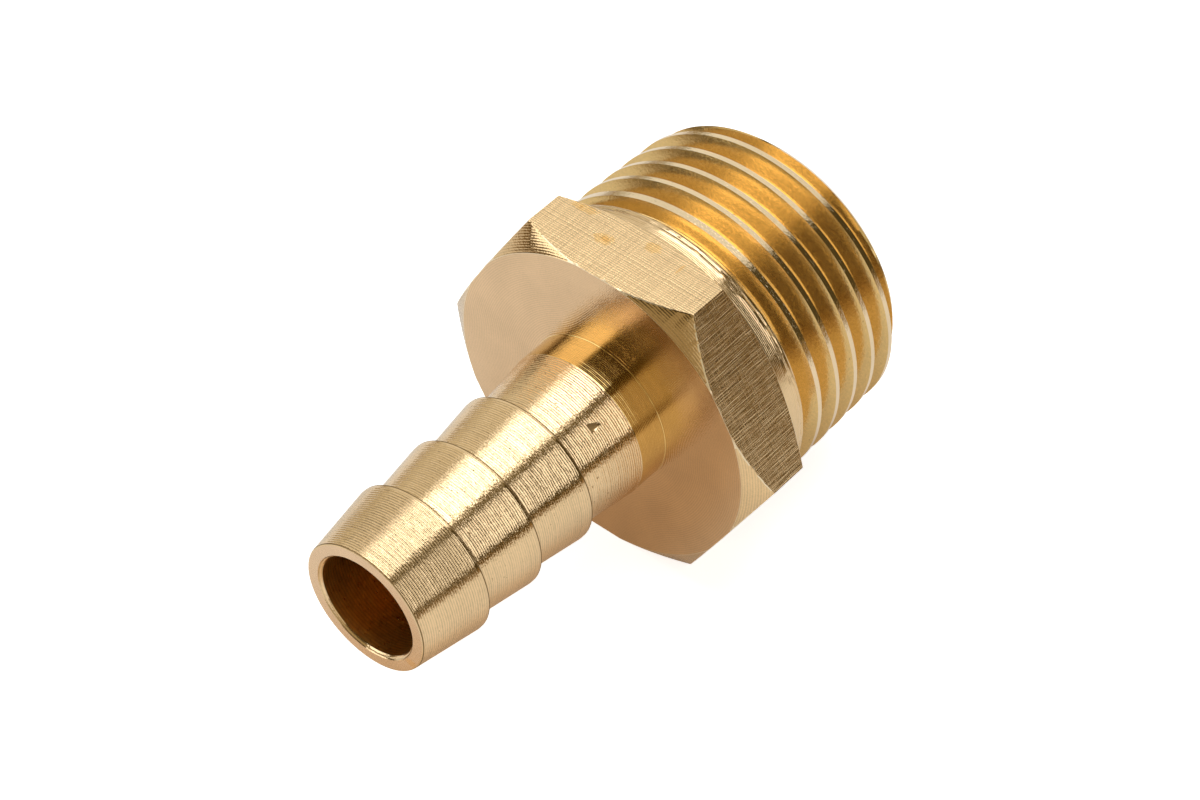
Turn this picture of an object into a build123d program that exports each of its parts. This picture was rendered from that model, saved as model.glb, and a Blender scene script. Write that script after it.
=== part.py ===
from build123d import *
from math import atan, cos, degrees, radians, tan
import os

# Hose barb tail, turned in one piece from hexagon brass bar.
# The axis is X. The hexagon's face on the hose side is at X = 0, the hose tail runs to -X and the
# thread to +X. Z is up, and the fitting lies on one flat of the hexagon.
# All sizes are in millimetres and degrees.

# Hose tail
tip_d = 9.0
ridge_d = 10.4
groove_d = 9.2
neck_d = 10.35
nose_length = 4.95
ridge_pitch = 4.55
ridge_count = 3
ridge_land = 0.25
neck_length = 2.15
broken_edge = 0.1
bore_d = 7.0
mouth_chamfer = 0.2

# Spanner hexagon
across_flats = 21.7
hexagon_width = 5.1
face_ring_past_flats = 0.1
face_chamfer_angle = 36.0
shoulder_ring_in_flats = 0.4
shoulder_chamfer_angle = 30.0

# Male pipe thread, size 1/2, tapered 1 in 16: 14 turns to the inch, 55 degree form.
# Its diameter is taken at the gauge plane, which lies a set length from the small end.
thread_d = 20.955
thread_pitch = 25.4 / 14
thread_angle = 55.0
thread_taper = 1 / 16
gauge_length = 8.2
crest_width = 0.38
root_width = 0.24
shank_length = 11.8
end_bevel = 0.95
full_thread_from = 2.15
runout_turns = 0.85
groove_start_angle = 180.0

# Bore in the threaded end, with the cone that its drill left
end_bore_d = 14.0
end_bore_depth = 13.0
drill_angle = 118.0
end_bore_chamfer = 0.4

# Sizes that follow from the ones above
neck_start = -neck_length
first_ridge = neck_start - ridge_count * ridge_pitch
tip_x = first_ridge - nose_length
shank_end = hexagon_width + shank_length
gauge_x = shank_end - gauge_length
thread_r = thread_d / 2
thread_depth = (thread_pitch - crest_width - root_width) / 2 / tan(radians(thread_angle / 2))
cutter_clearance = 0.5


def turned(outline_points):
    """A solid turned about the X axis from an outline of (x, radius) points."""
    outline = make_face(Plane.XZ * Polyline(*outline_points, close=True))
    return revolve(outline, axis=Axis.X)


def hose_tail():
    """The barbed tail: each section swells to a ridge with a narrow land and a square back."""
    tip_r = tip_d / 2
    ridge_r = ridge_d / 2
    points = [(tip_x, 0), (tip_x, tip_r - broken_edge), (tip_x + broken_edge, tip_r)]
    for i in range(ridge_count):
        x = first_ridge + i * ridge_pitch
        points += [(x - ridge_land, ridge_r), (x - broken_edge, ridge_r)]
        points += [(x, ridge_r - broken_edge), (x, groove_d / 2)]
    points += [(neck_start, neck_d / 2), (0, neck_d / 2), (0, 0)]
    return turned(points)


def spanner_hexagon():
    """A slice of hexagon bar, its corners turned away by a cone on both sides."""
    flat_r = across_flats / 2
    bar = extrude(
        Plane.YZ * RegularPolygon(flat_r, side_count=6, major_radius=False),
        amount=hexagon_width,
    )
    face_ring_r = flat_r + face_ring_past_flats
    shoulder_ring_r = flat_r - shoulder_ring_in_flats
    reach = flat_r / cos(radians(30)) + cutter_clearance
    face_run = (reach - face_ring_r) * tan(radians(face_chamfer_angle))
    shoulder_run = (reach - shoulder_ring_r) * tan(radians(shoulder_chamfer_angle))
    cones = turned(
        [
            (0, 0),
            (0, face_ring_r),
            (face_run, reach),
            (hexagon_width - shoulder_run, reach),
            (hexagon_width, shoulder_ring_r),
            (hexagon_width, 0),
        ]
    )
    return bar & cones


def crest_r(x):
    """The radius of the thread's tapered outside at a place along the axis."""
    return thread_r + (gauge_x - x) * thread_taper / 2


def threaded_blank():
    """The shank before threading: parallel to the gauge plane, tapered from there, then bevelled."""
    bevel_x = shank_end - end_bevel
    return turned(
        [
            (hexagon_width / 2, 0),
            (hexagon_width / 2, thread_r),
            (gauge_x, thread_r),
            (bevel_x, crest_r(bevel_x)),
            (shank_end, crest_r(bevel_x) - end_bevel),
            (shank_end, 0),
        ]
    )


def groove_section(outside_r):
    """The threading tool's outline, with the radius along X and the fitting's axis along Z."""
    root_r = outside_r - thread_depth
    top_r = outside_r + cutter_clearance
    half_top = (thread_pitch - crest_width) / 2
    half_root = root_width / 2
    outline = Polyline(
        (root_r, -half_root),
        (root_r, half_root),
        (outside_r, half_top),
        (top_r, half_top),
        (top_r, -half_top),
        (outside_r, -half_top),
        close=True,
    )
    return make_face(Plane.XZ * outline)


def thread_groove():
    """The helical groove, cut from the bevelled end to a run-out beside the plain band."""
    start_x = hexagon_width + full_thread_from
    start_r = crest_r(start_x)
    section = groove_section(start_r)
    full_length = shank_end - start_x + thread_pitch / 4
    narrowing = -degrees(atan(thread_taper / 2))
    tapered = Helix(thread_pitch, full_length, start_r, cone_angle=narrowing)
    full = sweep(section, path=tapered, is_frenet=True)
    runout_length = runout_turns * thread_pitch
    rise = degrees(atan((thread_depth + cutter_clearance / 2) / runout_length))
    rising = Helix(thread_pitch, runout_length, start_r, direction=(0, 0, -1), cone_angle=rise)
    runout = sweep(section, path=Rot(0, 0, 180) * rising, is_frenet=True)
    along_axis = Plane.YZ.offset(start_x)
    return [along_axis * Rot(0, 0, groove_start_angle) * cut for cut in (full, runout)]


def bore_cutter():
    """The bore through the tail, chamfered at its mouth, and the wider bore in the threaded end."""
    bore_r = bore_d / 2
    end_r = end_bore_d / 2
    cone_base = shank_end - end_bore_depth
    cone_tip = cone_base - (end_r - bore_r) / tan(radians(drill_angle / 2))
    return turned(
        [
            (tip_x, 0),
            (tip_x, bore_r + mouth_chamfer),
            (tip_x + mouth_chamfer, bore_r),
            (cone_tip, bore_r),
            (cone_base, end_r),
            (shank_end - end_bore_chamfer, end_r),
            (shank_end, end_r + end_bore_chamfer),
            (shank_end, 0),
        ]
    )


os.makedirs("parts", exist_ok=True)
blank = hose_tail() + spanner_hexagon() + threaded_blank()
for cut in thread_groove():
    blank -= cut
fitting = blank - bore_cutter()
export_step(fitting, "parts/hose_tail.step")
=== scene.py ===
import math

import bmesh
import bpy
from mathutils import Euler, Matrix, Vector, noise


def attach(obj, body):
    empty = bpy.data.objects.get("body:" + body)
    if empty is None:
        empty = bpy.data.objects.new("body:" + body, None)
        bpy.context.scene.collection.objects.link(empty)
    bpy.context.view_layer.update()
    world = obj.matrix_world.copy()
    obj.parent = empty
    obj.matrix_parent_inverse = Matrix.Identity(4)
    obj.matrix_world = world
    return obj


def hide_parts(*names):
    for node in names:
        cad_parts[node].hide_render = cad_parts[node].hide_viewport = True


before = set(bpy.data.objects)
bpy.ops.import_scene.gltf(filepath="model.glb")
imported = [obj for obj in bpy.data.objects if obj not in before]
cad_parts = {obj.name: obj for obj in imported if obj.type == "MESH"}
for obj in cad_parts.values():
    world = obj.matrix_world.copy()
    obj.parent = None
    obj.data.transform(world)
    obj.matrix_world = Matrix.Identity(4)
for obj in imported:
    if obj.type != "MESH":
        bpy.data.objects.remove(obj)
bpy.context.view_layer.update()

# ---------------------------------------------------------------------------------------------
# Camera
# It stands where the photograph was taken from: ahead of the hose tail, to its left and above.

CAMERA_PLACE = (-0.11434, -0.09925, 0.15814)
CAMERA_ANGLES = (43.854, 0.668, -49.759)      # degrees

camera_data = bpy.data.cameras.new("camera")
camera_data.sensor_width = 36
camera_data.lens = 109.06
camera = bpy.data.objects.new("camera", camera_data)
camera.location = CAMERA_PLACE
camera.rotation_euler = Euler([math.radians(a) for a in CAMERA_ANGLES])
bpy.context.scene.collection.objects.link(camera)
bpy.context.scene.camera = camera

# ---------------------------------------------------------------------------------------------
# Turned body of the fitting
# One piece of brass, turned in a lathe from hexagon bar. Its mesh is made of spun outlines in
# millimetres about the X axis: hose tail and bores, then the hexagon, then the screwed shank.

MM = 0.001                        # one millimetre in the scene's metres
STEPS = 360                       # steps of one full turn
AXIS = (1, 0, 0)
FINISHES = ("tail", "nose", "rim", "neck", "painted_shade", "cut_end", "bore", "face", "cone", "flat",
            "edge", "band", "land", "groove")


def add_outline(bm, points):
    """Adds an open chain of edges through (x, radius) points, on the side of the +Y axis."""
    vertices = [bm.verts.new((x, r, 0)) for x, r in points]
    return vertices + [bm.edges.new(pair) for pair in zip(vertices, vertices[1:])]


def add_mesh(bm, part, finish_of):
    """Adds one bmesh to another and frees it; finish_of(face, x, radius) names a face's finish."""
    for f in part.faces:
        middle = f.calc_center_median()
        f.material_index = FINISHES.index(finish_of(f, middle.x, math.hypot(middle.y, middle.z)))
    carrier = bpy.data.meshes.new("carrier")
    part.to_mesh(carrier)
    part.free()
    bm.from_mesh(carrier)
    bpy.data.meshes.remove(carrier)


def turned(points):
    """An outline of (x, radius) points turned once round the X axis."""
    bm = bmesh.new()
    bmesh.ops.spin(bm, geom=add_outline(bm, points), cent=(0, 0, 0), axis=AXIS, dvec=(0, 0, 0),
                   angle=math.tau, steps=STEPS, use_merge=True, use_duplicate=False)
    return bm


def supported(points, gap):
    """The outline with a point near each end of its long lines, which keeps their shading true."""
    full = [points[0]]
    for (x0, r0), (x1, r1) in zip(points, points[1:]):
        length = math.hypot(x1 - x0, r1 - r0)
        if length > 4 * gap:
            near = gap / length
            full += [(x0 + near * (x1 - x0), r0 + near * (r1 - r0)),
                     (x1 - near * (x1 - x0), r1 - near * (r1 - r0))]
        full.append((x1, r1))
    return full


# Hose tail: three barbs, each a slight cone that ends in a narrow land and a square back, and then
# the plain neck
TIP_X = -20.75
TIP_R = 4.5
TIP_BREAK = 0.1                   # the tip's edge is broken by a small chamfer
TIP_SHADE_START = 0.03                   # where on that chamfer its line of painted shade begins
RIDGE_R = 5.2
GROOVE_R = 4.6
RIDGES_X = (-15.8, -11.25, -6.7)
LAND = 0.25
LAND_EASE = 0.02                  # half the length over which a barb's cone turns into its land
LAND_DROP = 0.003                 # how far below the land the cone ends
BROKEN = 0.04                     # size of the rounding at the land's back edge
BROKEN_MIDDLE = 0.015             # where the middle of that rounding lies
SHADE_LINE = 0.1                   # width of the painted shade line along a ridge's back edge
CORNER = 0.05                     # fillet at the foot of a ridge's back
NECK_X = -2.15
NECK_R = 5.175
NECK_STEP = 0.01                  # height of the step where the neck starts
NECK_FILLET = 0.02
BORE_R = 3.5
MOUTH_CHAMFER = 0.2
NICK_X = (-4.45, -4.36, -4.24, -4.1, -3.96, -3.84, -3.74)      # points along the nick
NICK_MIDDLE = 129.0               # degrees from the +Y axis
NICK_REACH = 4.0                  # degrees to each side of its middle, at its wide end
NICK_NARROWING = 0.85             # the part of that reach that is lost on the way to its point
NICK_LEAN = 2                     # degrees that its middle turns on the way
NICK_DEPTH = 0.11
NICK_SHADED = 0.1                   # it is painted with shade where it is deeper than this part of the whole

tail = [(TIP_X + MOUTH_CHAMFER, BORE_R), (TIP_X, BORE_R + MOUTH_CHAMFER),
        (TIP_X, TIP_R - TIP_BREAK), (TIP_X + TIP_SHADE_START, TIP_R - TIP_SHADE_START),
        (TIP_X + TIP_BREAK, TIP_R)]
for x in RIDGES_X:
    tail += [(x - LAND - LAND_EASE, RIDGE_R - LAND_DROP), (x - LAND, RIDGE_R),
             (x - LAND + LAND_EASE, RIDGE_R), (x - SHADE_LINE, RIDGE_R), (x - BROKEN, RIDGE_R),
             (x - BROKEN_MIDDLE, RIDGE_R - BROKEN_MIDDLE), (x, RIDGE_R - BROKEN),
             (x, GROOVE_R + CORNER), (x + CORNER, GROOVE_R)]
last_slope = (NECK_R - NECK_STEP - GROOVE_R) / (NECK_X - RIDGES_X[-1])
tail += [(x, GROOVE_R + last_slope * (x - RIDGES_X[-1])) for x in NICK_X]
tail += [(NECK_X - 2 * NECK_STEP, NECK_R - NECK_STEP), (NECK_X + NECK_STEP, NECK_R),
         (-NECK_FILLET, NECK_R), (0, NECK_R + NECK_FILLET)]

# Bores: a drilled hole right through, and a wider one in the threaded end with its drill's cone
SHANK_END = 16.9
END_R = 9.3
END_RIM = 0.01                    # the shank's mesh takes over this far before the end
END_EASE = 0.05                   # rounding between the bevel and the end face
END_CHAMFER = 0.4
END_BORE_R = 7.0
END_BORE_DEPTH = 13.0
DRILL_HALF = math.radians(59)     # half the angle of the drill's point
CONE_BASE = SHANK_END - END_BORE_DEPTH
CONE_TIP = CONE_BASE - (END_BORE_R - BORE_R) / math.tan(DRILL_HALF)
bores = [(SHANK_END - END_RIM, END_R + END_RIM), (SHANK_END, END_R - END_EASE),
         (SHANK_END, END_BORE_R + END_CHAMFER), (SHANK_END - END_CHAMFER, END_BORE_R),
         (CONE_BASE, END_BORE_R), (CONE_TIP, BORE_R), (TIP_X + MOUTH_CHAMFER, BORE_R)]


def in_nick(x, angle):
    """How far inside the three-cornered nick a place is: 1 on its middle line, 0 at its edge."""
    way = (x - NICK_X[0]) / (NICK_X[-1] - NICK_X[0])
    if not 0 < way < 1:
        return 0.0
    reach = NICK_REACH * (1 - NICK_NARROWING * way)
    return max(0.0, 1 - ((angle - NICK_MIDDLE - NICK_LEAN * way) / reach) ** 2)


def tail_finish(face, x, r):
    """A cut tip, a nose turned with a coarser feed than the other barbs, and painted shade in the
    edges and the nick.
    """
    if x < TIP_X + TIP_SHADE_START / 3:
        return "cut_end"
    if x > NECK_X:
        return "neck"
    # the tip's chamfer, the ridges' back edges and the deep part of the nick get painted shade
    if TIP_X + TIP_SHADE_START < x < TIP_X + TIP_BREAK:
        return "painted_shade"
    if r > GROOVE_R + 2 * CORNER and min(abs(x - ridge) for ridge in RIDGES_X) < SHADE_LINE:
        return "painted_shade"
    if r > RIDGE_R - LAND_DROP:
        return "rim"
    middle = face.calc_center_median()
    if in_nick(x, math.degrees(math.atan2(middle.z, middle.y))) > NICK_SHADED:
        return "painted_shade"
    return "nose" if x < RIDGES_X[0] else "tail"


def bore_finish(face, x, r):
    """Drilled brass inside, and the same cut as the tip's on the end face and just past it."""
    past_edge = 0.1
    on_end = x > SHANK_END - past_edge and r > END_BORE_R + END_CHAMFER - past_edge
    return "cut_end" if on_end else "bore"


body = bmesh.new()
barbs = turned(supported(tail, gap=0.06))
for v in barbs.verts:
    dent = in_nick(v.co.x, math.degrees(math.atan2(v.co.z, v.co.y)))
    v.co.yz = v.co.yz * (1 - NICK_DEPTH * min(1.0, 2 * dent) / RIDGE_R)
add_mesh(body, barbs, tail_finish)
add_mesh(body, turned(supported(bores, gap=0.1)), bore_finish)

# Hexagon: flats of the drawn bar, the corners turned away by a cone on both sides
THREAD_R = 10.4775
FLAT_R = 10.85
HEX_W = 5.1
FACE_RING = 10.95                 # radius where the cone on the hose side starts
FACE_SLOPE = math.tan(math.radians(36))
FACE_EASE = 0.04                  # the face's edge is eased over this width
FACE_RISE = 0.006                 # and by this height
SHOULDER_RING = 10.45             # radius where the cone on the thread side ends
SHOULDER_SLOPE = math.tan(math.radians(30))
SHOULDER_FOOT = 0.03              # width of the shoulder's last ring, beside the band
EDGE = 0.05                       # half width of the worn edge between a cone and a flat
WORN = 0.005                      # how far that edge lies below the flat
BURR_ON_EDGES = 0.02              # height of its raggedness
BURR_DENSITY = 38                 # how closely its burrs follow each other
AROUND_FACE = (7.0, 9.0)          # two rings that keep the flat face's shading true


def flat_distance(angle):
    """How far the hexagon's surface is from the axis; corners are at multiples of 60 degrees."""
    from_flat = (angle % (math.pi / 3)) - math.pi / 6
    return FLAT_R / math.cos(from_flat)


def hexagon_place(ring, h, burr):
    """Where a ring of the outline lies on the hexagon, as (x, radius); ring 0 is on the flat face.

    h is the surface's distance from the axis there, burr the raggedness of its worn edges.
    """
    face_x = max(0.0, (h - FACE_RING) * FACE_SLOPE)
    face_edge = min(FACE_RING, h)
    cone_top = max(h - EDGE - 2 * WORN, face_edge)
    shoulder_x = HEX_W - (h - SHOULDER_RING) * SHOULDER_SLOPE
    return (
        (0, face_edge - FACE_EASE),                                              # flat face
        (FACE_RISE, face_edge),                                                  # its cone
        (max(face_x - EDGE * FACE_SLOPE, FACE_RISE) + burr, cone_top + burr),    # worn edge
        (face_x + EDGE * 0.8 + 2 * burr, h - WORN),
        (face_x + EDGE * 3, h),                                                  # flat of the bar
        (shoulder_x - EDGE * 3, h),
        (shoulder_x - EDGE * 0.6 + burr, h),                                     # worn edge
        (shoulder_x + EDGE * SHOULDER_SLOPE, h - EDGE),
        (HEX_W - EDGE, SHOULDER_RING + EDGE / SHOULDER_SLOPE),                   # shoulder's cone
        (HEX_W - SHOULDER_FOOT, SHOULDER_RING + SHOULDER_FOOT / SHOULDER_SLOPE),
    )[ring]


# The rings that go on to the hexagon are first spun at marker radii, from 20 mm on.
MARKER_R = 20
MARKER_STEP = 0.1
RINGS = 10
BAND_X = HEX_W - 0.016            # where the shoulder meets the band
hexagon_rings = [(0, r) for r in (NECK_R + NECK_FILLET, *AROUND_FACE)]
hexagon_rings += [(0, MARKER_R + MARKER_STEP * ring) for ring in range(RINGS)]
hexagon_rings.append((BAND_X, THREAD_R))
hexagon = turned(hexagon_rings)
for v in hexagon.verts:
    ring = round((math.hypot(v.co.y, v.co.z) - MARKER_R) / MARKER_STEP)
    if ring < 0:
        continue
    angle = math.atan2(v.co.z, v.co.y) % math.tau
    around = Vector((BURR_DENSITY * math.cos(angle), BURR_DENSITY * math.sin(angle), 0.3 * ring))
    x, r = hexagon_place(ring, flat_distance(angle), BURR_ON_EDGES * noise.noise(around))
    v.co = (x, r * math.cos(angle), r * math.sin(angle))


def hexagon_finish(face, x, r):
    """Turned face and cones, drawn flats, and the worn edges, whose faces are the smallest; these
    get a paler colour that is partly wear and partly painted highlight.
    """
    if x < FACE_RISE / 3:
        return "face"
    if abs(face.normal.x) < 0.05:     # it faces straight out
        return "flat"
    return "edge" if face.calc_area() < 0.02 else "cone"


hexagon.normal_update()
add_mesh(body, hexagon, hexagon_finish)

# Screwed shank: a tapered pipe thread, cut with a single tool that leaves a plain band beside
# the hexagon. One pitch of its outline is screwed along the shank.
PITCH = 25.4 / 14                 # 14 turns to the inch
TURNS = 10                        # turns of the outline, some of them past both ends
TURNS_BEFORE = 3                  # those of them before the first groove
HALF_FLANK = math.radians(27.5)   # half the angle between the groove's flanks
DEPTH = 1.147
ROOT_ROUND = 0.198
HALF_TOP = 0.717                  # half the groove's width at its top
HALF_TOP_LEAST = 0.4              # the same, where the run-out ends
FIRST_GROOVE = 7.25               # where the groove's middle is at the start angle
START_ANGLE = math.pi
GAUGE_X = 8.7                     # from this plane on, the crests narrow towards the end
TAPER = 1 / 32                    # of the radius: 1 in 16 on the diameter
RUNOUT = 0.0033 * 180 / math.pi   # how much the groove rises per radian of its run-out
RUNOUT_DRIFT = 0.00134 * 180 / math.pi      # and how far it strays from its helix
CREST_LIP = {0.72: -0.04, 0.75: -0.006}     # the crest's edge is rolled over, at these marks
LIP_LEAST_DEPTH = 0.3             # only where the groove is deeper than this
BURR = 0.035                      # height of the burr on the band, beside the first groove
BURR_AT = ((0, -0.8), (-1, 0.8))  # its grooves, and the marks of the outline beside them
BURR_CLEAR = 0.04                 # how far from a groove's edge the burr starts
RAGGED = 1.3                      # how much the lip and the burr change along the crest
RAGGED_SHIFT = 0.03               # and how far they stray along the axis
END_RIM_X = SHANK_END - END_RIM
BEVEL_X = SHANK_END - 0.95
MARGIN = 0.02                     # how far inside its ends the mesh is drawn together
CREST_SKIN = 0.012                # what lies less than this below the crests is still crest
ROLLED = (0.006, 0.032)           # the rolled edge lies this far below them; it gets the pale edge colour, partly painted highlight
BAND_END_X = FIRST_GROOVE - 0.2   # where the finish of the plain band ends


def groove_depth(q, depth):
    """How deep the groove is at a distance q from its middle."""
    half_top = HALF_TOP - (DEPTH - depth) * math.tan(HALF_FLANK)
    flank = (half_top - abs(q)) / math.tan(HALF_FLANK)
    if abs(q) < ROOT_ROUND * math.cos(HALF_FLANK):
        flank = depth - ROOT_ROUND + math.sqrt(ROOT_ROUND ** 2 - q * q)
    return max(0.0, min(flank, depth))


def crest_r(x):
    """Radius of the crests, which narrow from the gauge plane on."""
    return THREAD_R - max(0.0, x - GAUGE_X) * TAPER


# Marks of the outline: distances from a groove's middle, through its round root, its flank and
# its rolled edge to the crest
marks = [0, 0.06, 0.12, 0.1756, 0.3, 0.43, 0.56, 0.66, HALF_TOP, 0.75, 0.8]
outline = [FIRST_GROOVE + m for m in marks] + [FIRST_GROOVE + PITCH - m for m in reversed(marks)]
shank = bmesh.new()
first_turn = add_outline(shank, [(x - TURNS_BEFORE * PITCH, THREAD_R) for x in outline])
bmesh.ops.spin(shank, geom=first_turn, cent=(0, 0, 0), axis=AXIS, dvec=(PITCH / STEPS, 0, 0),
               angle=math.tau, steps=STEPS, use_merge=False, use_duplicate=False)
one_turn = shank.verts[:] + shank.edges[:] + shank.faces[:]
for number in range(1, TURNS):
    copy = bmesh.ops.duplicate(shank, geom=one_turn)["geom"]
    bmesh.ops.translate(shank, vec=(number * PITCH, 0, 0),
                        verts=[part for part in copy if isinstance(part, bmesh.types.BMVert)])
bmesh.ops.remove_doubles(shank, verts=shank.verts, dist=0.005)

# Every point of the screwed outline goes to its place in the groove or on the crest beside it.
for v in shank.verts:
    angle = math.atan2(v.co.z, v.co.y) % math.tau
    turns = (v.co.x - FIRST_GROOVE) / PITCH - (angle - START_ANGLE) / math.tau
    number = round(turns)
    q = (turns - number) * PITCH
    way = (angle - START_ANGLE) + number * math.tau      # angle along the groove, 0 at full depth
    depth = DEPTH if way >= 0 else max(0.0, DEPTH + RUNOUT * way)
    drift = RUNOUT_DRIFT * min(max(-way, 0.0), DEPTH / RUNOUT)
    half_top = max(HALF_TOP - (DEPTH - depth) * math.tan(HALF_FLANK), HALF_TOP_LEAST)
    if abs(q) <= HALF_TOP + 1e-4:
        moved = q * half_top / HALF_TOP
    else:
        rest = (abs(q) - HALF_TOP) / (PITCH / 2 - HALF_TOP)
        moved = math.copysign(half_top + rest * (PITCH / 2 - half_top), q)
    x = v.co.x - q + moved + drift * (1 - abs(q) / (PITCH / 2))
    lip = CREST_LIP.get(round(abs(q), 2), 0.0) if depth > LIP_LEAST_DEPTH else 0.0
    if (number, round(q, 1)) in BURR_AT and abs(q) > HALF_TOP + BURR_CLEAR:
        lip = BURR
    if lip:
        ragged = noise.noise(Vector((1.5 * x, 14 * math.cos(angle), 14 * math.sin(angle))))
        lip *= 1 + RAGGED * ragged
        x += math.copysign(RAGGED_SHIFT * ragged, q)
    r = min(crest_r(x) - groove_depth(moved, depth) + lip, END_R + SHANK_END - x)
    if x < BAND_X + MARGIN:     # what runs past either end is drawn together on its rim
        x, r = BAND_X, THREAD_R
    elif x > END_RIM_X - MARGIN:
        x, r = END_RIM_X, END_R + END_RIM
    v.co = (x, r * math.cos(angle), r * math.sin(angle))


def shank_finish(face, x, r):
    """Paler crests and band where the turned outside is left, deeper gold where the groove was cut:
    a painted highlight on the crests and painted shade in the groove.
    """
    below = crest_r(x) - r
    on_crest = below < CREST_SKIN
    if on_crest and x < BAND_END_X:
        return "band"
    if ROLLED[0] < below < ROLLED[1]:
        return "edge"
    on_bevel = x > BEVEL_X and r > END_R + SHANK_END - x - 0.03
    return "land" if on_crest or on_bevel else "groove"


add_mesh(body, shank, shank_finish)
bmesh.ops.remove_doubles(body, verts=body.verts, dist=0.001)
body.verts.index_update()
vertex_count = len(body.verts)


def face_number(face):
    """A number that no other face has, made of its three lowest vertex indices."""
    a, b, c = sorted(v.index for v in face.verts)[:3]
    return (a * vertex_count + b) * vertex_count + c


body.faces.sort(key=face_number)  # the operators leave them in another order in each run
bmesh.ops.recalc_face_normals(body, faces=body.faces)
bmesh.ops.scale(body, vec=(MM, MM, MM), verts=body.verts)
SHARP = math.radians(24)          # edges that turn by more than this are shaded as edges
for f in body.faces:
    f.smooth = True
for e in body.edges:
    e.smooth = e.calc_face_angle(0.0) < SHARP

mesh = bpy.data.meshes.new("turned_body")
body.to_mesh(mesh)
body.free()
turned_body = bpy.data.objects.new("turned_body", mesh)
bpy.context.scene.collection.objects.link(turned_body)

# Bare brass. Every surface is the same metal, marked by the tool that made it: fine rings where it
# was turned, lines along the bar on the drawn flats. Rings and grain also paint shade and light
# into the colour, and some finishes carry a painted highlight, others painted shade. Lengths in
# these materials are millimetres.


def new_group(name, inputs, outputs):
    """An empty node group with float or vector inputs (name, default) and float outputs."""
    group = bpy.data.node_groups.new(name, "ShaderNodeTree")
    for title, default in inputs:
        kind = "NodeSocketVector" if default is None else "NodeSocketFloat"
        socket = group.interface.new_socket(name=title, in_out="INPUT", socket_type=kind)
        if default is not None:
            socket.default_value = default
    for title in outputs:
        group.interface.new_socket(name=title, in_out="OUTPUT", socket_type="NodeSocketFloat")
    return group, group.nodes.new("NodeGroupInput"), group.nodes.new("NodeGroupOutput")


def put(value, socket, links):
    """Gives a socket a number, or links it to an output."""
    if isinstance(value, bpy.types.NodeSocket):
        links.new(value, socket)
    else:
        socket.default_value = value


def maths(tree, operation, *values):
    """One Math node on numbers or outputs."""
    node = tree.nodes.new("ShaderNodeMath")
    node.operation = operation
    for value, socket in zip(values, node.inputs):
        put(value, socket, tree.links)
    return node.outputs[0]


def noise_value(tree, vector, scale, detail=2.0, dimensions="3D"):
    """The value of a noise texture on a vector, or on one number."""
    node = tree.nodes.new("ShaderNodeTexNoise")
    node.noise_dimensions = dimensions
    put(vector, node.inputs["W" if dimensions == "1D" else "Vector"], tree.links)
    put(scale, node.inputs["Scale"], tree.links)
    node.inputs["Detail"].default_value = detail
    return node.outputs[0]


def smooth_step(tree, value, start, end):
    """0 up to start, 1 past end and a soft rise between them; start may be above end."""
    node = tree.nodes.new("ShaderNodeMapRange")
    node.interpolation_type = "SMOOTHSTEP"
    put(value, node.inputs["Value"], tree.links)
    put(start, node.inputs["From Min"], tree.links)
    put(end, node.inputs["From Max"], tree.links)
    return node.outputs[0]


def vector_maths(tree, operation, first, second):
    """One Vector Math node on vectors or outputs; returns the node."""
    node = tree.nodes.new("ShaderNodeVectorMath")
    node.operation = operation
    put(first, node.inputs[0], tree.links)
    put(second, node.inputs[1], tree.links)
    return node


def mix_colours(tree, factor, first, second, blend="MIX"):
    """One Mix node on colours; each value is a number, a colour or an output."""
    node = tree.nodes.new("ShaderNodeMix")
    node.data_type = "RGBA"
    node.blend_type = blend
    for value, socket in ((factor, "Factor"), (first, "A"), (second, "B")):
        put((*value, 1) if isinstance(value, tuple) else value, node.inputs[socket], tree.links)
    return node.outputs["Result"]


# Rings left by a turning tool: one per feed, wavering, with finer scratches between them
ring_group, given, result = new_group(
    "tool_rings", (("Across", 0.0), ("Position", None), ("Feed", 0.12), ("Waver", 0.3)),
    ("Height",))
across, amount = given.outputs["Across"], given.outputs["Waver"]
waver = noise_value(ring_group, given.outputs["Position"], scale=0.8)
phase = maths(ring_group, "DIVIDE", across, given.outputs["Feed"])
phase = maths(ring_group, "ADD", phase, maths(ring_group, "MULTIPLY", waver, amount))
wave = maths(ring_group, "SINE", maths(ring_group, "MULTIPLY", phase, math.tau))
scratch = maths(ring_group, "ADD", across, maths(ring_group, "MULTIPLY", waver, 0.05))
scratch = noise_value(ring_group, scratch, scale=6.0, detail=4.0, dimensions="1D")
scratch = maths(ring_group, "MULTIPLY", maths(ring_group, "SUBTRACT", scratch, 0.5), amount)
ring_height = maths(ring_group, "ADD", maths(ring_group, "MULTIPLY_ADD", wave, 0.3, 0.5), scratch)
ring_group.links.new(ring_height, result.inputs["Height"])

# Grain and pits of the metal: fine roughness, a few dark specks and slow clouds
grain_group, given, result = new_group(
    "metal_grain", (("Position", None), ("Size", 0.12), ("Specks", 0.3)),
    ("Height", "Speck", "Cloud"))
position = given.outputs["Position"]
per_size = maths(grain_group, "DIVIDE", 1.0, given.outputs["Size"])
fine = noise_value(grain_group, position, per_size, detail=4.0)
speck_scale = maths(grain_group, "MULTIPLY", per_size, 0.9)
speck_noise = noise_value(grain_group, position, speck_scale)
limit = maths(grain_group, "MULTIPLY_ADD", given.outputs["Specks"], -0.2, 0.82)
speck = smooth_step(grain_group, speck_noise, limit, maths(grain_group, "ADD", limit, 0.08))
grain_group.links.new(fine, result.inputs["Height"])
grain_group.links.new(speck, result.inputs["Speck"])
cloud = noise_value(grain_group, position, scale=0.35)
grain_group.links.new(cloud, result.inputs["Cloud"])


SPECK_TINT = (0.5, 0.42, 0.3)
CLOUDS = 0.24                     # how much the slow clouds lighten and darken the brass
BRIGHTEST = 1.12                  # the most that clouds, rings and grain together lighten it


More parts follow.
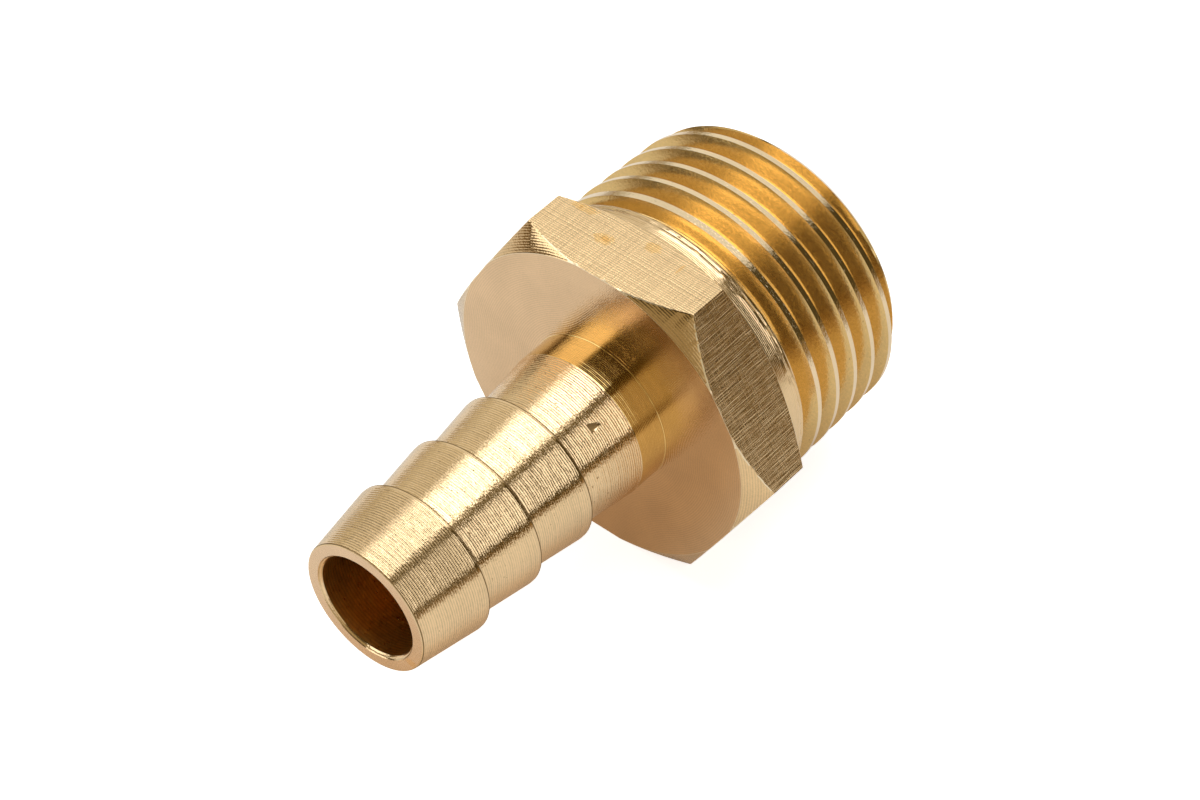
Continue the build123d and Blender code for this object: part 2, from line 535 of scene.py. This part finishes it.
def brass_finish(name, colour, roughness, stretch, across=None, feed=0.12, waver=0.3,
                 ring_depth=0.0, grain_size=0.15, grain_depth=0.0, specks=0.3, shade=0.1, stains=(),
                 anisotropy=0.0, turned_marks=True):
    """One finish of the brass; depths and sizes are millimetres.

    stretch scales the grain along x, y and z. The tool's rings follow each other along x or along
    the radius, as across says: "x" or "r". shade is how far the rings and grain paint shade into
    their low places and light onto their high ones.
    Each stain has its centre, its reach along x, y and z and its colour. anisotropy draws the
    reflections out across the marks, which run round the axis, or along it without turned_marks.
    """
    material = bpy.data.materials.new(name)
    material.use_nodes = True
    tree = material.node_tree
    nodes, links = tree.nodes, tree.links
    shader = nodes["Principled BSDF"]
    place = vector_maths(tree, "MULTIPLY", nodes.new("ShaderNodeTexCoord").outputs["Object"],
                         (1 / MM, 1 / MM, 1 / MM)).outputs[0]
    grain = nodes.new("ShaderNodeGroup")
    grain.node_tree = grain_group
    links.new(vector_maths(tree, "MULTIPLY", place, stretch).outputs[0], grain.inputs["Position"])
    grain.inputs["Size"].default_value = grain_size
    grain.inputs["Specks"].default_value = specks
    lines = grain.outputs["Height"]
    height = maths(tree, "SUBTRACT", lines, grain.outputs["Speck"])
    height = maths(tree, "MULTIPLY", height, grain_depth)
    if across:
        split = nodes.new("ShaderNodeSeparateXYZ")
        links.new(place, split.inputs[0])
        along = split.outputs["X"]
        if across == "r":
            squares = [maths(tree, "MULTIPLY", side, side) for side in split.outputs[1:]]
            along = maths(tree, "SQRT", maths(tree, "ADD", *squares))
        rings = nodes.new("ShaderNodeGroup")
        rings.node_tree = ring_group
        links.new(along, rings.inputs["Across"])
        links.new(place, rings.inputs["Position"])
        rings.inputs["Feed"].default_value = feed
        rings.inputs["Waver"].default_value = waver
        height = maths(tree, "MULTIPLY_ADD", rings.outputs["Height"], ring_depth, height)
        lines = maths(tree, "MULTIPLY", maths(tree, "ADD", rings.outputs["Height"], lines), 0.5)
    bump = nodes.new("ShaderNodeBump")
    bump.inputs["Strength"].default_value = 1
    bump.inputs["Distance"].default_value = MM
    links.new(height, bump.inputs["Height"])
    links.new(bump.outputs[0], shader.inputs["Normal"])

    speck_colour = tuple(c * tint for c, tint in zip(colour, SPECK_TINT))
    tone = mix_colours(tree, grain.outputs["Speck"], colour, speck_colour)
    # painted shade and light: the colour follows the height of the rings and grain, with the
    # clouds' random tone added
    light = maths(tree, "MULTIPLY_ADD", lines, 2 * shade, 1 - shade - CLOUDS / 2)
    light = maths(tree, "MULTIPLY_ADD", grain.outputs["Cloud"], CLOUDS, light)
    tone = mix_colours(tree, 1.0, tone, maths(tree, "MINIMUM", light, BRIGHTEST), "MULTIPLY")
    for centre, reach, stain in stains:
        offset = vector_maths(tree, "SUBTRACT", place, centre).outputs[0]
        offset = vector_maths(tree, "DIVIDE", offset, reach).outputs[0]
        far = vector_maths(tree, "LENGTH", offset, (0, 0, 0)).outputs["Value"]
        ragged = noise_value(tree, place, scale=2.5, detail=3.0)
        blot = maths(tree, "MULTIPLY_ADD", ragged, 1.4, far)
        tone = mix_colours(tree, smooth_step(tree, blot, 1.9, 1.5), tone, stain, "MULTIPLY")
    links.new(tone, shader.inputs["Base Color"])
    rough = maths(tree, "MULTIPLY_ADD", grain.outputs["Height"], roughness * 0.5, roughness * 0.75)
    links.new(rough, shader.inputs["Roughness"])
    shader.inputs["Metallic"].default_value = 1
    if anisotropy:
        shader.inputs["Anisotropic"].default_value = anisotropy
        shader.inputs["Anisotropic Rotation"].default_value = 0.25 if turned_marks else 0.0
        tangent = nodes.new("ShaderNodeTangent")
        tangent.direction_type = "RADIAL"
        tangent.axis = "X"
        links.new(tangent.outputs[0], shader.inputs["Tangent"])
    return material


PALE = (0.82, 0.60, 0.345)
YELLOW_STAIN = (1.0, 0.91, 0.72)
BROWN_STAIN = (0.94, 0.84, 0.66)
flat_stains = (
    ((4.0, -1.0, FLAT_R), (0.4, 0.55, 1), YELLOW_STAIN),
    ((2.75, 1.8, FLAT_R), (0.45, 0.65, 1), YELLOW_STAIN),
    ((2.8, 1.7, FLAT_R), (0.2, 0.3, 1), BROWN_STAIN),
    ((4.1, 4.4, FLAT_R), (0.4, 0.9, 1), YELLOW_STAIN),
    ((4.0, 4.6, FLAT_R), (0.12, 0.12, 1), BROWN_STAIN),
    ((3.6, -3.3, FLAT_R), (0.5, 0.08, 1), BROWN_STAIN),
)
mouth_stain = (((TIP_X, -3.4, -2.25), (1, 0.4, 0.3), YELLOW_STAIN),)
EVEN = (1, 1, 1)
TURNED = (1.0, 0.45, 0.45)        # grain drawn out round the axis
DRAWN = (0.035, 1.0, 1.0)         # and along the bar
LOOKS = {
    "tail": dict(colour=PALE, roughness=0.11, stretch=TURNED, across="x", feed=0.15, waver=0.9,
                 ring_depth=0.0145, grain_size=0.1, grain_depth=0.016, specks=0.65, shade=0.34,
                 anisotropy=0.7),
    "nose": dict(colour=PALE, roughness=0.17, stretch=TURNED, across="x", feed=0.16,
                 ring_depth=0.026, grain_size=0.13, grain_depth=0.016, specks=0.45, shade=0.45,
                 anisotropy=0.75),
    "rim": dict(colour=PALE, roughness=0.07, stretch=TURNED, across="x", feed=0.07,
                ring_depth=0.002, grain_size=0.1, grain_depth=0.006, anisotropy=0.3),
    # neck: darker and deeper gold than the tail, painted shade and warm reflection of its corner
    # against the hexagon's face
    "neck": dict(colour=(0.75, 0.54, 0.21), roughness=0.10, stretch=TURNED, across="x", waver=0.7,
                 ring_depth=0.008, grain_size=0.16, grain_depth=0.004, specks=0.2, shade=0.2,
                 anisotropy=0.5),
    # painted shade: dark brass on the ridges' back edges, the tip's chamfer and in the nick
    "painted_shade": dict(colour=(0.27, 0.175, 0.075), roughness=0.45, stretch=EVEN, grain_size=0.1,
                  grain_depth=0.05),
    "cut_end": dict(colour=(0.80, 0.57, 0.36), roughness=0.27, stretch=EVEN, across="r", feed=0.1,
                    ring_depth=0.002, grain_depth=0.014, stains=mouth_stain),
    "bore": dict(colour=(0.88, 0.54, 0.14), roughness=0.3, stretch=TURNED, across="x", feed=0.2,
                 ring_depth=0.01, grain_depth=0.016, specks=0.45, shade=0.25),
    "face": dict(colour=(0.77, 0.545, 0.33), roughness=0.12, stretch=EVEN, across="r", feed=0.14,
                 waver=0.15, ring_depth=0.007, grain_size=0.14, grain_depth=0.008, specks=0.35,
                 shade=0.2),
    "cone": dict(colour=(0.79, 0.56, 0.30), roughness=0.15, stretch=EVEN, across="r", feed=0.13,
                 waver=0.5, ring_depth=0.010, grain_depth=0.012, shade=0.3),
    "flat": dict(colour=(0.80, 0.58, 0.325), roughness=0.17, stretch=DRAWN, across="x", feed=0.16,
                 waver=1.2, ring_depth=0.006, grain_size=0.1, grain_depth=0.03, specks=0.4,
                 shade=0.5, stains=flat_stains, anisotropy=0.5, turned_marks=False),
    # edge: paler brass on the worn and rolled edges, partly wear and partly painted highlight
    "edge": dict(colour=(0.92, 0.76, 0.52), roughness=0.3, stretch=EVEN, grain_size=0.1,
                 grain_depth=0.01),
    "band": dict(colour=PALE, roughness=0.18, stretch=TURNED, across="x", ring_depth=0.01,
                 grain_size=0.16, grain_depth=0.012, shade=0.15, anisotropy=0.7),
    # land: paler than the tail, a painted highlight on the thread's crests
    "land": dict(colour=(0.88, 0.70, 0.46), roughness=0.06, stretch=TURNED, across="x", feed=0.07,
                 ring_depth=0.002, grain_size=0.1, grain_depth=0.012, specks=0.5, shade=0.15,
                 anisotropy=0.3),
    # groove: deeper gold, painted shade of the groove's hollow
    "groove": dict(colour=(0.785, 0.548, 0.232), roughness=0.22, stretch=(1, 0.5, 0.5),
                   grain_size=0.1, grain_depth=0.008, specks=0.5, shade=0.2),
}
for name in FINISHES:
    mesh.materials.append(brass_finish(name, **LOOKS[name]))

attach(turned_body, "root")
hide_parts("hose_tail")

# ---------------------------------------------------------------------------------------------
# Floor and light
# The fitting lies on a large sheet of white paper, in a room of soft panels that is seen only in
# the brass; the panels were placed to give the reflections of the photograph.

FLOOR_HALF = 1.5                  # half the sheet's width, in metres

floor_mesh = bpy.data.meshes.new("floor")
floor_bm = bmesh.new()
bmesh.ops.create_grid(floor_bm, x_segments=1, y_segments=1, size=FLOOR_HALF)
bmesh.ops.translate(floor_bm, vec=(0, 0, -FLAT_R * MM), verts=floor_bm.verts)
floor_bm.to_mesh(floor_mesh)
floor_bm.free()
floor = bpy.data.objects.new("floor", floor_mesh)
bpy.context.scene.collection.objects.link(floor)

# Paper that the camera sees white. In reflections it carries a painted shadow close to the brass,
# warmed by light from the brass, and painted shade that fades into the dark of the room far off and
# on the right.
WHITE_PAPER = (0.8, 0.8, 0.8)
LIT_PAPER = (0.66, 0.66, 0.66)
WARM_SHADOW_PAPER = (0.57, 0.45, 0.325)
DARK_PAPER = (0.215, 0.14, 0.058)
CAMERA_GLOW = 0.95
REFLECTED_GLOW = 0.35
HALF_LENGTH = 19 * MM             # of the fitting
MIDDLE_X = -2 * MM                # of the fitting
WARM_SHADOW_GAP = (15 * MM, 2 * MM)      # how far from its middle line the painted warm shadow ends and is full
SIDE_GAP = (45 * MM, 110 * MM)    # how far the dark on the right starts and is full
FAR_GAP = (90 * MM, 250 * MM)     # the same for the dark all round
SIDE_FADE = 10 * MM               # half the width over which the dark side begins

floor_paper = bpy.data.materials.new("white_paper")
floor_paper.use_nodes = True
tree = floor_paper.node_tree
paper_shader = tree.nodes["Principled BSDF"]
seen = tree.nodes.new("ShaderNodeLightPath").outputs
split = tree.nodes.new("ShaderNodeSeparateXYZ")
tree.links.new(tree.nodes.new("ShaderNodeTexCoord").outputs["Object"], split.inputs[0])
across, sideways = split.outputs["X"], split.outputs["Y"]
beyond = maths(tree, "ABSOLUTE", maths(tree, "ADD", across, -MIDDLE_X))
beyond = maths(tree, "MAXIMUM", maths(tree, "SUBTRACT", beyond, HALF_LENGTH), 0.0)
gap = maths(tree, "SQRT", maths(tree, "ADD", maths(tree, "MULTIPLY", beyond, beyond),
                                maths(tree, "MULTIPLY", sideways, sideways)))
# painted warm shadow close to the fitting
paper = mix_colours(tree, smooth_step(tree, gap, *WARM_SHADOW_GAP), LIT_PAPER, WARM_SHADOW_PAPER)
to_right = maths(tree, "MULTIPLY_ADD", sideways, 0.45, across)
to_front = maths(tree, "ADD", sideways, across)
dark_side = maths(tree, "MULTIPLY", smooth_step(tree, to_right, -SIDE_FADE, SIDE_FADE),
                  smooth_step(tree, to_front, SIDE_FADE, -SIDE_FADE))
dark_side = maths(tree, "MULTIPLY", dark_side, smooth_step(tree, gap, *SIDE_GAP))
dark = maths(tree, "MAXIMUM", dark_side, smooth_step(tree, gap, *FAR_GAP))
# painted shade far off and on the right
paper = mix_colours(tree, dark, paper, DARK_PAPER)
paper = mix_colours(tree, seen["Is Camera Ray"], paper, WHITE_PAPER)
tree.links.new(paper, paper_shader.inputs["Base Color"])
paper_shader.inputs["Roughness"].default_value = 1
paper_shader.inputs["Specular IOR Level"].default_value = 0
glow = maths(tree, "MULTIPLY", seen["Is Glossy Ray"], REFLECTED_GLOW)
glow = maths(tree, "MULTIPLY_ADD", seen["Is Camera Ray"], CAMERA_GLOW, glow)
tree.links.new(paper, paper_shader.inputs["Emission Color"])
tree.links.new(glow, paper_shader.inputs["Emission Strength"])
floor_mesh.materials.append(floor_paper)

world = bpy.data.worlds.new("studio")
bpy.context.scene.world = world
world.use_nodes = True
tree = world.node_tree
background = tree.nodes["Background"]
split = tree.nodes.new("ShaderNodeSeparateXYZ")
tree.links.new(tree.nodes.new("ShaderNodeTexCoord").outputs["Generated"], split.inputs[0])

# The room's panels. Each has the ranges of its direction's x, y and z, the softness of its edges,
# the one of the edge where y is highest, and its brightness. A later panel covers earlier ones.
BASE_LEVEL = 0.075
shaded_wall_left = ((-2, -0.8), (-0.6, 0.5), (0.0, 0.6), 0.06, 0.06, 0.38)
bright_wall_front = ((-0.16, 0.365), (-1.2, -0.525), (0.165, 0.83), 0.02, 0.02, 1.5)
gap_above_wall = ((-0.2, 0.40), (-0.455, -0.415), (0.7, 1.2), 0.012, 0.012, 0.5)
wall_behind = ((-0.1, 0.60), (0.35, 1.2), (-0.02, 0.87), 0.05, 0.05, 0.65)
panel_overhead = ((-0.15, 0.41), (-0.34, 0.46), (0.6, 1.2), 0.02, 0.14, 3.3)
bright_wall_right = ((0.44, 0.8), (-0.36, 0.85), (0.1, 1.2), 0.03, 0.03, 0.86)
window_behind_left = ((-0.8, -0.3), (0.42, 1.0), (0.2, 0.9), 0.05, 0.05, 1.8)
pale_wall_front_left = ((-0.8, -0.3), (-1.0, -0.42), (0.03, 0.75), 0.05, 0.05, 0.66)
panels = (shaded_wall_left, bright_wall_front, gap_above_wall, wall_behind, panel_overhead,
          bright_wall_right, window_behind_left, pale_wall_front_left)
level = BASE_LEVEL
for xs, ys, zs, soft, soft_back, strength in panels:
    mask = 1.0
    for i, (low, high) in enumerate((xs, ys, zs)):
        high_soft = soft_back if i == 1 else soft
        rise = smooth_step(tree, split.outputs[i], low - soft, low + soft)
        fall = smooth_step(tree, split.outputs[i], high + high_soft, high - high_soft)
        mask = maths(tree, "MULTIPLY", mask, maths(tree, "MULTIPLY", rise, fall))
    kept = maths(tree, "MULTIPLY", maths(tree, "SUBTRACT", 1.0, mask), level)
    level = maths(tree, "MULTIPLY_ADD", mask, strength, kept)
seen = tree.nodes.new("ShaderNodeLightPath").outputs["Is Camera Ray"]
# What is dark in the room is also warm in colour.
warmth = tree.nodes.new("ShaderNodeValToRGB")
warmth.color_ramp.elements[0].color = (1, 0.72, 0.22, 1)
warmth.color_ramp.elements[1].color = (1, 1, 1, 1)
warmth.color_ramp.elements.new(0.35).color = (1, 0.80, 0.45, 1)
warmth.color_ramp.elements.new(0.7).color = (1, 0.95, 0.80, 1)
tree.links.new(level, warmth.inputs["Fac"])
light_colour = mix_colours(tree, seen, warmth.outputs["Color"], (1.0, 1.0, 1.0))
tree.links.new(light_colour, background.inputs["Color"])
room = maths(tree, "MULTIPLY", maths(tree, "SUBTRACT", 1.0, seen), level)
tree.links.new(maths(tree, "ADD", room, seen), background.inputs["Strength"])

bpy.context.scene.view_settings.view_transform = "Standard"
